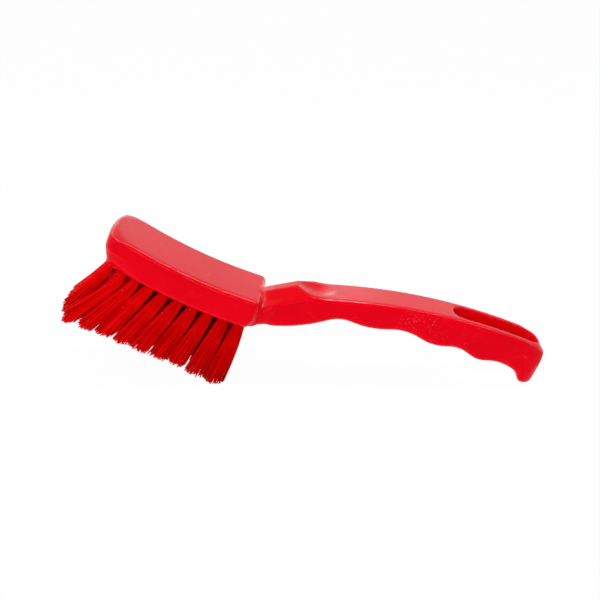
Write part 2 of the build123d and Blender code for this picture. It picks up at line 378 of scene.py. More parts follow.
@dataclass(frozen=True)
class MouldedPlastic:
    """Glossy red polypropylene, as it leaves the mould."""

    body: Colour = (0.83, 0.0, 0.005)
    deep: Colour = (0.77, 0.0, 0.004)
    pale: Colour = (0.87, 0.0, 0.009)
    # Pale pink of scuffs and specks, also painted as a highlight along the upper edges and the seam
    # lines.
    scuff_and_highlight: Colour = (0.92, 0.17, 0.20)
    gloss_tint: Colour = (1.0, 0.115, 0.46)
    roughness: float = 0.17
    roughness_spread: float = 0.07
    specular: float = 0.155
    rim_gloss: float = 0.12
    grain_scale: float = 1700.0
    ripple_scale: float = 95.0
    grain_depth: float = 0.06 * MM
    seam_depth: float = 0.10 * MM
    seam_width: float = 0.22 * MM

    def build(self, effects: Effects, block: "Moulding") -> bpy.types.Material:
        """Make the material.

        Args:
            effects: The shared node groups.
            block: The moulding, whose sizes place the seam lines.

        Returns:
            The finished material.
        """
        material, board, shader, place = principled("moulded_red_plastic")
        own = board.add(
            "Mapping",
            {"vector_type": "TEXTURE"},
            Vector=place,
            Location=block.axes.toe,
            Rotation=(0.0, block.axes.pitch, 0.0),
        ).outputs[0]
        flow = board.effect(
            effects.flow,
            Vector=own,
            Scale=24.0,
            Deep=rgba(self.deep),
            Body=rgba(self.body),
            Pale=rgba(self.pale),
        )
        grain = board.effect(
            effects.grain,
            Vector=own,
            Grain_Scale=self.grain_scale,
            Ripple_Scale=self.ripple_scale,
            Grain_Share=0.3,
        )
        edge = board.add("Attribute", {"attribute_name": "edge_share"}).outputs["Fac"]
        wear_and_highlight = board.effect(effects.wear_and_highlight, Vector=own, Edge=edge, Scale=420.0, Reach=0.42)
        scratches = board.effect(effects.scratches, Vector=own, Scale=55.0, Stretch=11.0)
        specks = board.effect(effects.dust, Vector=own, Scale=1150.0, Size=0.34, Share=0.30)
        speckled = board.math("MULTIPLY", specks.outputs[0], self.speckle_zone(board, own))
        seam_and_highlight = self.seam_lines(board, own, block)
        # Pale tint of real specks and scratches, and of edges and seam lines, where it is partly
        # wear and partly a painted highlight.
        marks_and_highlights = board.math("MAXIMUM", wear_and_highlight.outputs[0], speckled)
        marks_and_highlights = board.math("MAXIMUM", marks_and_highlights, board.math("MULTIPLY", scratches.outputs[0], 0.35))
        # The seam lines take the pale tint partly as a painted highlight; their bump below is real.
        marks_and_highlights = board.math("MAXIMUM", marks_and_highlights, board.math("MULTIPLY", seam_and_highlight, 0.4))
        tinted = board.blend(
            board.math("MULTIPLY", marks_and_highlights, 0.55), flow.outputs[0], rgba(self.scuff_and_highlight)
        )
        board.feed(tinted, shader.inputs["Base Color"])
        rough = board.math(
            "MULTIPLY_ADD", grain.outputs["Mottle"], self.roughness_spread, self.roughness
        )
        rough = board.math("MULTIPLY_ADD", marks_and_highlights, 0.18, rough)
        board.feed(rough, shader.inputs["Roughness"])
        shader.inputs["Specular IOR Level"].default_value = self.specular
        shader.inputs["Specular Tint"].default_value = rgba(self.gloss_tint)
        board.feed(self.polish(board, own, seam_and_highlight), shader.inputs["Coat Weight"])
        shader.inputs["Coat Roughness"].default_value = self.rim_gloss
        relief = board.math("MULTIPLY", grain.outputs["Height"], self.grain_depth)
        relief = board.math("MULTIPLY_ADD", seam_and_highlight, self.seam_depth, relief)
        relief = board.math("MULTIPLY_ADD", scratches.outputs[0], -0.02 * MM, relief)
        bump = board.add("Bump", Strength=0.8, Distance=1.0, Height=relief)
        board.feed(bump.outputs[0], shader.inputs["Normal"])
        return material

    def polish(
        self, board: Board, own: bpy.types.NodeSocket, seam_and_highlight: bpy.types.NodeSocket
    ) -> bpy.types.NodeSocket:
        """Polish of the upper rims, where a bare hand and the mould's edge leave them brightest.

        Args:
            board: The material's board.
            own: Coordinates in the brush's own frame.
            seam_and_highlight: Mask of the seam lines.

        Returns:
            Weight of the polish.
        """
        u = board.add("SeparateXYZ", Vector=own).outputs[0]
        rim = board.add("Attribute", {"attribute_name": "rim_line"}).outputs["Fac"]
        on_block = board.remap(u, 88 * MM, 96 * MM, 0.9, 0.15)
        grip_start = board.remap(u, 116 * MM, 123 * MM)
        grip_end = board.remap(u, 138 * MM, 168 * MM, 1.0, 0.3)
        on_grip = board.math("MULTIPLY", grip_start, grip_end)
        zone = board.math("MAXIMUM", on_block, on_grip)
        broken = board.remap(board.noise(own, 260.0, 3.0, 0.6), 0.34, 0.5, 0.35, 1.0)
        bright = board.math("MULTIPLY", board.math("MULTIPLY", rim, zone), broken)
        return board.math("MAXIMUM", bright, board.math("MULTIPLY", seam_and_highlight, 0.15))

    def speckle_zone(self, board: Board, own: bpy.types.NodeSocket) -> bpy.types.NodeSocket:
        """Share of speckle along the brush: strongest on the side of the grip."""
        split = board.add("SeparateXYZ", Vector=own)
        u = split.outputs[0]
        aside = board.remap(board.math("ABSOLUTE", split.outputs[1]), 12.3 * MM, 13.6 * MM, 0.1, 1.0)
        rise = board.remap(u, 150 * MM, 172 * MM)
        fall = board.remap(u, 188 * MM, 214 * MM, 1.0, 0.12)
        patch = board.remap(board.noise(own, 90.0, 2.0), 0.42, 0.62, 0.25, 1.0)
        zone = board.math("MULTIPLY", board.math("MULTIPLY", rise, fall), patch)
        zone = board.math("MULTIPLY", zone, aside)
        return board.math("MAXIMUM", zone, 0.08)

    def seam_lines(
        self, board: Board, own: bpy.types.NodeSocket, block: "Moulding"
    ) -> bpy.types.NodeSocket:
        """Thin broken flash line round the rim of the block, and the parting line at the toe; the
        pale tint laid on them is partly a painted highlight of the ridge.

        Args:
            board: The material's board.
            own: Coordinates in the brush's own frame.
            block: The moulding, whose sizes place the lines.

        Returns:
            Mask of the lines.
        """
        split = board.add("SeparateXYZ", Vector=own)
        u, v = split.outputs[0], split.outputs[2]
        centre_v = block.top_low_v + block.top_bow_radius
        du = board.math("SUBTRACT", u, block.bow_low_u)
        dv = board.math("SUBTRACT", v, centre_v)
        reach = board.math(
            "SQRT",
            board.math("ADD", board.math("MULTIPLY", du, du), board.math("MULTIPLY", dv, dv)),
        )
        below_top = board.math("SUBTRACT", reach, block.top_bow_radius)
        on_block = board.math("LESS_THAN", u, block.length - 2 * MM)

        def line(depth: float, width: float) -> bpy.types.NodeSocket:
            """Ridge of a width at a depth below the block's top."""
            off = board.math("ABSOLUTE", board.math("SUBTRACT", below_top, depth))
            return board.math("SUBTRACT", 1.0, board.math("DIVIDE", off, width), clamp=True)

        broken = board.remap(board.noise(own, 330.0, 3.0, 0.6), 0.40, 0.58)
        rim = board.math("MULTIPLY", line(block.flash_depth, self.seam_width), broken)
        at_toe = board.remap(u, 5 * MM, 18 * MM, 0.8, 0.0)
        parting = board.math("MULTIPLY", line(block.parting_depth, self.seam_width), at_toe)
        both = board.math("MAXIMUM", rim, parting)
        return board.math("MULTIPLY", both, on_block)


@dataclass(frozen=True)
class BristleNylon:
    """Stiff red filament with drawn streaks, and painted shade: deeper near the roots and towards
    the heel.
    """

    body: Colour = (0.92, 0.0, 0.0)
    deep: Colour = (0.66, 0.0, 0.0)
    pale: Colour = (1.0, 0.002, 0.005)
    # Red of the painted shade, near the roots and towards the heel.
    shade_red: Colour = (0.58, 0.0, 0.0)
    cut_end: Colour = (0.90, 0.04, 0.05)
    gloss_tint: Colour = (1.0, 0.10, 0.15)
    roughness: float = 0.30
    specular: float = 0.07
    streak_depth: float = 0.015 * MM
    # Painted shade darkens the tufts from the toe end to the heel end of this x range.
    heel_shade_from_x: float = -115 * MM
    heel_shade_to_x: float = -55 * MM
    heel_shade_share: float = 0.6

    def build(self, effects: Effects) -> bpy.types.Material:
        """Make the material.

        Args:
            effects: The shared node groups.

        Returns:
            The finished material.
        """
        material, board, shader, place = principled("bristle_nylon")
        tone = board.add("Attribute", {"attribute_name": "filament_tone"}).outputs["Fac"]
        run = board.add("Attribute", {"attribute_name": "filament_run"}).outputs["Fac"]
        flow = board.effect(
            effects.flow,
            Vector=place,
            Scale=30.0,
            Shift=board.math("MULTIPLY_ADD", tone, 0.9, -0.45),
            Deep=rgba(self.deep),
            Body=rgba(self.body),
            Pale=rgba(self.pale),
        )
        # Painted shade: darker near the roots, where the filaments shade each other in their hole,
        # and darker towards the heel tufts, which the block shades.
        painted_shade = board.remap(run, 0.22, 0.5, 0.25, 0.0)
        lengthwise = board.add("SeparateXYZ", Vector=place).outputs[0]
        shade_red = board.remap(lengthwise, self.heel_shade_from_x, self.heel_shade_to_x, 0.0, self.heel_shade_share)
        painted_shade = board.math("MAXIMUM", painted_shade, shade_red)
        shaded = board.blend(painted_shade, flow.outputs[0], rgba(self.shade_red))
        cut = board.remap(run, 0.985, 0.998)
        dust = board.effect(effects.dust, Vector=place, Scale=520.0, Size=0.3, Share=0.06)
        frayed = board.math("MAXIMUM", cut, board.math("MULTIPLY", dust.outputs[0], 0.6))
        coloured = board.blend(frayed, shaded, rgba(self.cut_end))
        board.feed(coloured, shader.inputs["Base Color"])
        grain = board.effect(
            effects.grain, Vector=place, Grain_Scale=2600.0, Ripple_Scale=300.0, Grain_Share=0.5
        )
        rough = board.math("MULTIPLY_ADD", grain.outputs["Mottle"], 0.16, self.roughness)
        board.feed(rough, shader.inputs["Roughness"])
        shader.inputs["Specular IOR Level"].default_value = self.specular
        shader.inputs["Specular Tint"].default_value = rgba(self.gloss_tint)
        relief = board.math("MULTIPLY", grain.outputs["Height"], self.streak_depth)
        bump = board.add("Bump", Strength=0.7, Distance=1.0, Height=relief)
        board.feed(bump.outputs[0], shader.inputs["Normal"])
        return material


@dataclass(frozen=True)
class AnchorSteel:
    """Drawn stainless wire, flattened into an anchor."""

    body: Colour = (0.56, 0.56, 0.55)
    deep: Colour = (0.40, 0.40, 0.39)
    pale: Colour = (0.68, 0.68, 0.67)
    roughness: float = 0.30

    def build(self, effects: Effects) -> bpy.types.Material:
        """Make the material.

        Args:
            effects: The shared node groups.

        Returns:
            The finished material.
        """
        material, board, shader, place = principled("anchor_steel")
        flow = board.effect(
            effects.flow,
            Vector=place,
            Scale=300.0,
            Deep=rgba(self.deep),
            Body=rgba(self.body),
            Pale=rgba(self.pale),
        )
        board.feed(flow.outputs[0], shader.inputs["Base Color"])
        shader.inputs["Metallic"].default_value = 1.0
        scratches = board.effect(effects.scratches, Vector=place, Scale=240.0, Stretch=20.0)
        rough = board.math("MULTIPLY_ADD", scratches.outputs[0], 0.25, self.roughness)
        board.feed(rough, shader.inputs["Roughness"])
        bump = board.add(
            "Bump",
            Strength=0.5,
            Distance=1.0,
            Height=board.math("MULTIPLY", scratches.outputs[0], 0.01 * MM),
        )
        board.feed(bump.outputs[0], shader.inputs["Normal"])
        return material


@dataclass(frozen=True)
class PaleTable:
    """Plain pale sweep that shows near white and still takes the object's shadow."""

    colour: Colour = (0.95, 0.95, 0.95)
    lift: float = 0.975

    def build(self) -> bpy.types.Material:
        """Make the material.

        Returns:
            The finished material.
        """
        material, board, shader, place = principled("pale_table")
        shader.inputs["Roughness"].default_value = 0.9
        shader.inputs["Specular IOR Level"].default_value = 0.1
        tone = board.remap(board.noise(place, 6.0, 3.0), 0.3, 0.7, 0.985, 1.0)
        mottled = board.blend(tone, rgba((0.0, 0.0, 0.0)), rgba(self.colour))
        board.feed(mottled, shader.inputs["Base Color"])
        path = board.add("LightPath")
        seen = board.math("MAXIMUM", path.outputs["Is Camera Ray"], path.outputs["Is Glossy Ray"])
        seen = board.math("MAXIMUM", seen, path.outputs["Is Transmission Ray"])
        white = board.add("Emission", Color=(1.0, 1.0, 1.0, 1.0), Strength=1.0)
        mixed = board.add("MixShader")
        board.feed(board.math("MULTIPLY", seen, self.lift), mixed.inputs[0])
        board.feed(shader.outputs[0], mixed.inputs[1])
        board.feed(white.outputs[0], mixed.inputs[2])
        output = material.node_tree.nodes["Material Output"]
        board.feed(mixed.outputs[0], output.inputs["Surface"])
        return material


# Pieces


def settle(obj: bpy.types.Object, material: bpy.types.Material) -> bpy.types.Object:
    """Give a finished piece its material, its body and the slot it takes its finish from."""
    obj.data.materials.clear()
    obj.data.materials.append(material)
    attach(obj, "root")
    return obj


@dataclass
class Moulding:
    """The block, neck and handle: one skin, finer and rounder than its solid."""

    axes: BrushAxes
    length: float = 90.2 * MM
    thickness: float = 17.1 * MM
    bow_low_u: float = 62.24 * MM
    top_low_v: float = 53.5 * MM
    top_bow_radius: float = 290 * MM
    half_width: float = 23.2 * MM
    toe_arc_radius: float = 108.9 * MM
    toe_corner_centre: Vector = field(default_factory=lambda: Vector((17.2, 6.2)) * MM)
    toe_corner_radius: float = 17.0 * MM
    tight_corner_centre: Vector = field(default_factory=lambda: Vector((7.87, 16.7)) * MM)
    tight_corner_radius: float = 6.5 * MM
    edge_radius: float = 3.0 * MM
    toe_roll: float = 3.1 * MM
    toe_tuck: float = 3.4 * MM
    toe_swell: float = 0.6 * MM
    tuck_start_v: float = 52.0 * MM
    tuck_end_v: float = 41.5 * MM
    tail_u: float = 246.8 * MM
    tail_half_width: float = 14.3 * MM
    tail_corner_radius: float = 9.5 * MM
    tail_top_v: float = 89.8 * MM
    tail_lean: float = math.radians(4)
    hook_v: float = 65.4 * MM
    tail_roll: float = 8.0 * MM
    roll_fade: float = 11.0 * MM
    flash_depth: float = 1.6 * MM
    parting_depth: float = 9.0 * MM
    voxel: float = 0.68 * MM
    merge_reach: float = 0.001 * MM
    clear: float = 0.001 * MM
    skin_passes: int = 3
    edge_passes: int = 14
    edge_rings: int = 3
    neck_passes: int = 40
    neck_rings: int = 5
    rim_rise: float = 0.86
    rim_spread: float = 0.14
    rim_low_v: float = 48.0 * MM
    flare_start_u: float = 99.5 * MM
    flare_arc_radius: float = 13.04 * MM
    flare_spread: float = 3.9 * MM
    neck_foot_lift: float = 1.1 * MM
    crease_top_u: float = 101.5 * MM
    crease_foot_u: float = 97.5 * MM
    crease_top_v: float = 58.0 * MM
    crease_foot_v: float = 40.0 * MM
    crown_top_v: float = 89.8 * MM
    crown_radius: float = 329.1 * MM
    crown_level_u: float = 239.8 * MM
    slot_start_u: float = 189.0 * MM
    slot_end_u: float = 237.5 * MM
    slot_front_shift: float = 2.8 * MM
    slot_tail_shift: float = 3.9 * MM
    hook_shift: float = 0.7 * MM
    foot_passes: int = 60

    def build(self) -> bpy.types.Object:
        """Remesh a copy of the solid and round what the solid leaves chamfered.

        Returns:
            The finished piece, at the origin with its place in its mesh.
        """
        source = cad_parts["handle_block"]
        bm = bmesh.new()
        bm.from_mesh(source.data)
        bmesh.ops.remove_doubles(bm, verts=bm.verts, dist=self.merge_reach)
        bmesh.ops.transform(bm, matrix=self.axes.matrix().inverted(), verts=bm.verts)
        rough = self.to_object(bm, "handle_block_rough")
        remesh = rough.modifiers.new("Remesh", "REMESH")
        remesh.mode = "VOXEL"
        remesh.voxel_size = self.voxel
        remesh.adaptivity = 0.0
        graph = bpy.context.evaluated_depsgraph_get()
        fine = bpy.data.meshes.new_from_object(rough.evaluated_get(graph))
        bpy.data.objects.remove(rough)
        bm = bmesh.new()
        bm.from_mesh(fine)
        bpy.data.meshes.remove(fine)
        self.smooth(bm, list(bm.verts), self.skin_passes)
        self.smooth(bm, self.low_edges(bm), self.edge_passes)
        self.smooth(bm, self.neck_hollow(bm), self.neck_passes)
        self.smooth(bm, [v for v in bm.verts if self.heel_foot(v.co)], self.foot_passes)
        for vert in bm.verts:
            self.shape_toe(vert.co)
            self.shape_flare(vert.co)
            self.shape_slot(vert.co)
            self.shape_tail(vert.co)
        self.smooth(bm, list(bm.verts), 1)
        self.mark_edges(bm)
        bmesh.ops.transform(bm, matrix=self.axes.matrix(), verts=bm.verts)
        for vert in bm.verts:
            for axis in range(3):
                low, high = cad_low[axis] + self.clear, cad_high[axis] - self.clear
                vert.co[axis] = min(max(vert.co[axis], low), high)
        bmesh.ops.recalc_face_normals(bm, faces=bm.faces)
        skin = self.to_object(bm, "moulded_handle_block")
        skin.data.shade_smooth()
        return skin

    def to_object(self, bm: bmesh.types.BMesh, name: str) -> bpy.types.Object:
        """Write a bmesh to a new object in the scene and free it."""
        mesh = bpy.data.meshes.new(name)
        bm.to_mesh(mesh)
        bm.free()
        obj = bpy.data.objects.new(name, mesh)
        bpy.context.scene.collection.objects.link(obj)
        return obj

    def smooth(
        self, bm: bmesh.types.BMesh, verts: list[bmesh.types.BMVert], passes: int
    ) -> None:
        """Smooth some vertices several times."""
        for _ in range(passes):
            bmesh.ops.smooth_vert(
                bm, verts=verts, factor=0.5, use_axis_x=True, use_axis_y=True, use_axis_z=True
            )

    def low_edges(self, bm: bmesh.types.BMesh) -> list[bmesh.types.BMVert]:
        """Vertices along the chamfers of the underside and of the finger line.

        Args:
            bm: The remeshed skin in the brush's own frame.

        Returns:
            The chamfers' vertices and a few rings round them.
        """
        bm.normal_update()
        found = {
            v
            for v in bm.verts
            if v.normal.z < -0.25 and math.hypot(v.normal.x, v.normal.y) > 0.35 and self.outside(v)
        }
        rim = set(found)
        for _ in range(self.edge_rings):
            rim = {e.other_vert(v) for v in rim for e in v.link_edges} - found
            found |= rim
        return list(found)

    def outside(self, vert: bmesh.types.BMVert) -> bool:
        """Whether a vertex is clear of the tuft holes."""
        on_side = abs(vert.co.y) > 20.6 * MM or vert.co.x < 4.2 * MM
        on_heel = vert.co.x > self.length - 3.2 * MM
        return on_side or on_heel

    def heel_foot(self, co: Vector) -> bool:
        """Whether a place is on the heel's lower corners, beside the handle."""
        return co.x > self.length - 3.2 * MM and co.z < 43 * MM and abs(co.y) > 18.6 * MM

    def neck_hollow(self, bm: bmesh.types.BMesh) -> list[bmesh.types.BMVert]:
        """Vertices along the hollow where the neck's ridge and flare grow out of the block.

        Args:
            bm: The remeshed skin in the brush's own frame.

        Returns:
            The hollow's vertices and a few rings round them.
        """
        found = set()
        for vert in bm.verts:
            u, y, v = vert.co
            if not (84 * MM < u < 96 * MM and v > 44 * MM and abs(y) < 21 * MM):
                continue
            total = Vector()
            for edge in vert.link_edges:
                total += edge.other_vert(vert).co
            hollow = vert.co - total / len(vert.link_edges)
            if hollow.dot(vert.normal) < -0.05 * self.voxel:
                found.add(vert)
        rim = set(found)
        for _ in range(self.neck_rings):
            rim = {e.other_vert(v) for v in rim for e in v.link_edges} - found
            found |= rim
        return list(found)

    def top_v(self, u: float) -> float:
        """Height of the block's bowed top at a station."""
        run = u - self.bow_low_u
        return self.top_low_v + self.top_bow_radius - math.sqrt(self.top_bow_radius**2 - run**2)

    def extra_drop(self, inset: float, radius: float) -> float:
        """How much lower a rim of a larger radius lies than the solid's, at an inset."""

        def drop(rim: float) -> float:
            """Drop of a quarter-round rim at the inset."""
            return rim - math.sqrt(rim**2 - (rim - inset) ** 2) if inset < rim else 0.0

        inset = max(inset, 0.0)
        return max(0.0, drop(radius) - drop(self.edge_radius))

    def shape_toe(self, co: Vector) -> None:
        """Tighten the toe's corners, roll its top rim over and tuck its foot in.

        Args:
            co: Place of a vertex in the brush's own frame, changed where it lies at the toe.
        """
        if co.x > 30 * MM:
            return
        side = 1.0 if co.y >= 0 else -1.0
        spot = Vector((co.x, abs(co.y)))
        arc_centre = Vector((self.toe_arc_radius, 0.0))
        out = spot - self.toe_corner_centre
        if out.x < 0 < out.y:
            heading = out.normalized()
            shift = self.tight_corner_centre - self.toe_corner_centre
            reach = heading.dot(shift)
            reach += math.sqrt(
                max(0.0, reach**2 - shift.length_squared + self.tight_corner_radius**2)
            )
            hit = self.toe_corner_centre + heading * reach
            if hit.x > self.tight_corner_centre.x or hit.y < self.tight_corner_centre.y:
                to_side = self.toe_corner_radius / max(heading.y, 1e-6)
                to_arc = arc_centre - self.toe_corner_centre
                along = heading.dot(to_arc)
                to_toe = along + math.sqrt(
                    along**2 - to_arc.length_squared + self.toe_arc_radius**2
                )
                reach = min(to_side, to_toe)
            share = smooth_share(out.length, 13.4 * MM, 16.2 * MM)
            spot += heading * out.length * (reach / self.toe_corner_radius - 1) * share
        from_corner = spot - self.tight_corner_centre
        if from_corner.x < 0 < from_corner.y:
            inset = self.tight_corner_radius - from_corner.length
            inward = -from_corner.normalized()
        else:
            to_arc = self.toe_arc_radius - (spot - arc_centre).length
            inset = min(to_arc, self.half_width - spot.y)
            inward = Vector((1.0, 0.0)) if to_arc < self.half_width - spot.y else Vector((0.0, -1.0))
        at_toe = 1 - smooth_share(spot.x, 5 * MM, 24 * MM)
        top = self.top_v(spot.x)
        near_top = (co.z - (top - self.roll_fade)) / (self.roll_fade - self.edge_radius)
        near_top = min(1.0, max(0.0, near_top))
        co.z -= self.extra_drop(inset, self.toe_roll) * at_toe * near_top
        low = (self.tuck_start_v - co.z) / (self.tuck_start_v - self.tuck_end_v)
        low = min(1.2, max(0.0, low))
        on_wall = 1 - smooth_share(inset, 1.2 * MM, 2.4 * MM)
        spot += inward * self.toe_tuck * low**1.5 * on_wall * at_toe
        high = smooth_share(co.z, 46 * MM, 52 * MM) * (1 - smooth_share(inset, 1 * MM, 9 * MM))
        spot -= inward * self.toe_swell * high * at_toe
        co.x = spot.x
        co.y = side * spot.y

    def shape_flare(self, co: Vector) -> None:
        """Turn the round flare of the neck into a facet that starts at a slanting crease.

        Args:
            co: Place of a vertex in the brush's own frame, changed where it lies on the flare.
        """
        if not self.length < co.x < 104 * MM:
            return
        low = 1 - smooth_share(co.z, 40 * MM, 47 * MM)
        near = smooth_share(co.x, self.length, 93 * MM) * (1 - smooth_share(co.x, 95 * MM, 102 * MM))
        co.z += self.neck_foot_lift * low * near
        if abs(co.y) < 0.7 * self.tail_half_width:
            return
        side = 1.0 if co.y >= 0 else -1.0
        rise = (co.z - self.crease_foot_v) / (self.crease_top_v - self.crease_foot_v)
        crease_u = self.crease_foot_u + (self.crease_top_u - self.crease_foot_u) * rise
        round_part = 0.0
        if co.x < self.flare_start_u:
            run = self.flare_start_u - co.x
            round_part = self.flare_arc_radius - math.sqrt(self.flare_arc_radius**2 - run**2)
        flat_part = max(0.0, (crease_u - co.x) / (crease_u - self.length)) * self.flare_spread
        outer = smooth_share(abs(co.y), 0.7 * self.tail_half_width, 0.95 * self.tail_half_width)
        co.y += side * (flat_part - round_part) * outer

    def crown_v(self, u: float) -> float:
        """Height of the grip's crowned top at a station."""
        run = u - self.crown_level_u
        return self.crown_top_v - self.crown_radius + math.sqrt(self.crown_radius**2 - run**2)

    def shape_slot(self, co: Vector) -> None:
        """Draw the upper mouth of the hanging slot towards the tail.

        Args:
            co: Place of a vertex in the brush's own frame, changed where it lies by the slot.
        """
        if co.x < self.slot_start_u - 15 * MM or abs(co.y) > 13 * MM:
            return
        into = smooth_share(co.x, self.slot_start_u - 14 * MM, self.slot_start_u - 1 * MM)
        out = 1 - smooth_share(co.x, self.slot_end_u + 1.5 * MM, self.tail_u - 1.5 * MM)
        beside = 1 - smooth_share(abs(co.y), 8.8 * MM, 12.6 * MM)
        depth = 1 - smooth_share(self.crown_v(co.x) - co.z, 7 * MM, 20 * MM)
        share = smooth_share(co.x, self.slot_start_u, self.slot_end_u)
        shift = self.slot_front_shift + (self.slot_tail_shift - self.slot_front_shift) * share
        shift *= into * out * beside * depth
        co.z += self.crown_v(co.x + shift) - self.crown_v(co.x)
        co.x += shift

    def shape_tail(self, co: Vector) -> None:
        """Stand the tail's end upright, set its hook back and roll its top rim over.

        Args:
            co: Place of a vertex in the brush's own frame, changed where it lies at the tail.
        """
        start_u = self.tail_u - self.tail_corner_radius
        on_hook = smooth_share(co.x, self.tail_u - 18 * MM, self.tail_u - 10 * MM)
        on_hook *= 1 - smooth_share(co.z, self.hook_v + 15 * MM, self.hook_v + 27 * MM)
        co.x += self.hook_shift * math.cos(self.axes.pitch) * on_hook
        co.z += self.hook_shift * math.sin(self.axes.pitch) * on_hook
        if co.x < start_u - 6 * MM or co.z < self.hook_v - 2 * MM:
            return
        near_end = smooth_share(co.x, start_u + 0.5 * MM, self.tail_u - 4 * MM)
        co.x += (co.z - self.hook_v) * math.tan(self.tail_lean) * near_end
        spot = Vector((co.x, abs(co.y)))
        corner = Vector((start_u, self.tail_half_width - self.tail_corner_radius))
        from_corner = spot - corner
        if from_corner.x > 0 and from_corner.y > 0:
            inset = self.tail_corner_radius - from_corner.length
        else:
            inset = min(self.tail_u - spot.x, self.tail_half_width - spot.y)
        fade_start = self.tail_top_v - self.roll_fade - 2 * MM
        near_top = (co.z - fade_start) / (self.roll_fade - self.edge_radius)
        near_top = min(1.0, max(0.0, near_top))
        at_end = smooth_share(spot.x, start_u - 5 * MM, start_u + 5 * MM)
        co.z -= self.extra_drop(inset, self.tail_roll) * near_top * at_end

    def mark_edges(self, bm: bmesh.types.BMesh) -> None:
        """Write how far each vertex stands proud of its neighbours, for wear and a painted highlight
        along edges, strongest on edges that face up.
        """
        layer = bm.verts.layers.float.new("edge_share")
        rim = bm.verts.layers.float.new("rim_line")
        bm.normal_update()
        for vert in bm.verts:
            off = abs(vert.normal.z - self.rim_rise) / self.rim_spread
            vert[rim] = max(0.0, 1 - off) if vert.co.z > self.rim_low_v else 0.0
            total = Vector()
            for edge in vert.link_edges:
                total += edge.other_vert(vert).co
            hollow = vert.co - total / len(vert.link_edges)
            proud = min(1.0, max(0.0, hollow.dot(vert.normal) / (0.16 * self.voxel)))
            # Upward-facing edges get the most, where the painted highlight lies.
            vert[layer] = proud * (0.35 + 0.65 * smooth_share(vert.normal.z, 0.1, 0.4))


@dataclass(frozen=True)
class TuftPlace:
    """Where one tuft stands: its hole's mouth, its tips' middle, and how far it is from each end."""

    name: str
    mouth: Vector
    tip: Vector
    at_toe: float
    at_heel: float


@dataclass
class TuftField:
    """Rows of tufts that fan from the drilled holes to the trimmed tips."""

    axes: BrushAxes
    rows: int = 5
    columns: int = 9
    toe_column_rows: int = 3
    heel_u: float = 90.2 * MM
    heel_setback: float = 6.6 * MM
    column_pitch: float = 8.644 * MM
    row_pitch: float = 8.6 * MM
    tip_row_pitch: float = 9.8 * MM
    heel_tip_setback: float = 9.0 * MM
    toe_tip_reach: float = 9.0 * MM
    corner_tip_reach: float = 6.0 * MM
    underside_low_u: float = 62.24 * MM
    underside_low_v: float = 36.4 * MM
    underside_radius: float = 310 * MM

    def underside(self, u: float) -> float:
        """Height of the block's underside at a station."""
        rise = math.sqrt(self.underside_radius**2 - (u - self.underside_low_u) ** 2)
        return self.underside_low_v + self.underside_radius - rise

    def places(self) -> list[TuftPlace]:
        """Places of all the tufts, row by row from the toe.

        Returns:
            The places, named as the nodes of the solids.
        """
        found = []
        middle = (self.rows - 1) / 2
        heel_tip = self.heel_u - self.heel_tip_setback
        for row in range(self.rows):
            side = row - middle
            inner = abs(side) <= (self.toe_column_rows - 1) / 2
            first = 0 if inner else 1
            reach = self.toe_tip_reach if inner else self.corner_tip_reach
            step = (heel_tip + reach) / (self.columns - first)
            for column in range(first, self.columns + 1):
                back = self.columns - column
                u = self.heel_u - self.heel_setback - back * self.column_pitch
                mouth = self.axes.at(u, side * self.row_pitch, self.underside(u))
                tip = self.axes.at(heel_tip - back * step, side * self.tip_row_pitch, 0.0)
                at_toe = max(0.0, 1 - 0.55 * (column - first))
                at_heel = max(0.0, 1 - 0.5 * back)
                name = f"tuft_r{row + 1}_c{column}"
                found.append(TuftPlace(name, mouth, tip, at_toe, at_heel))
        return found


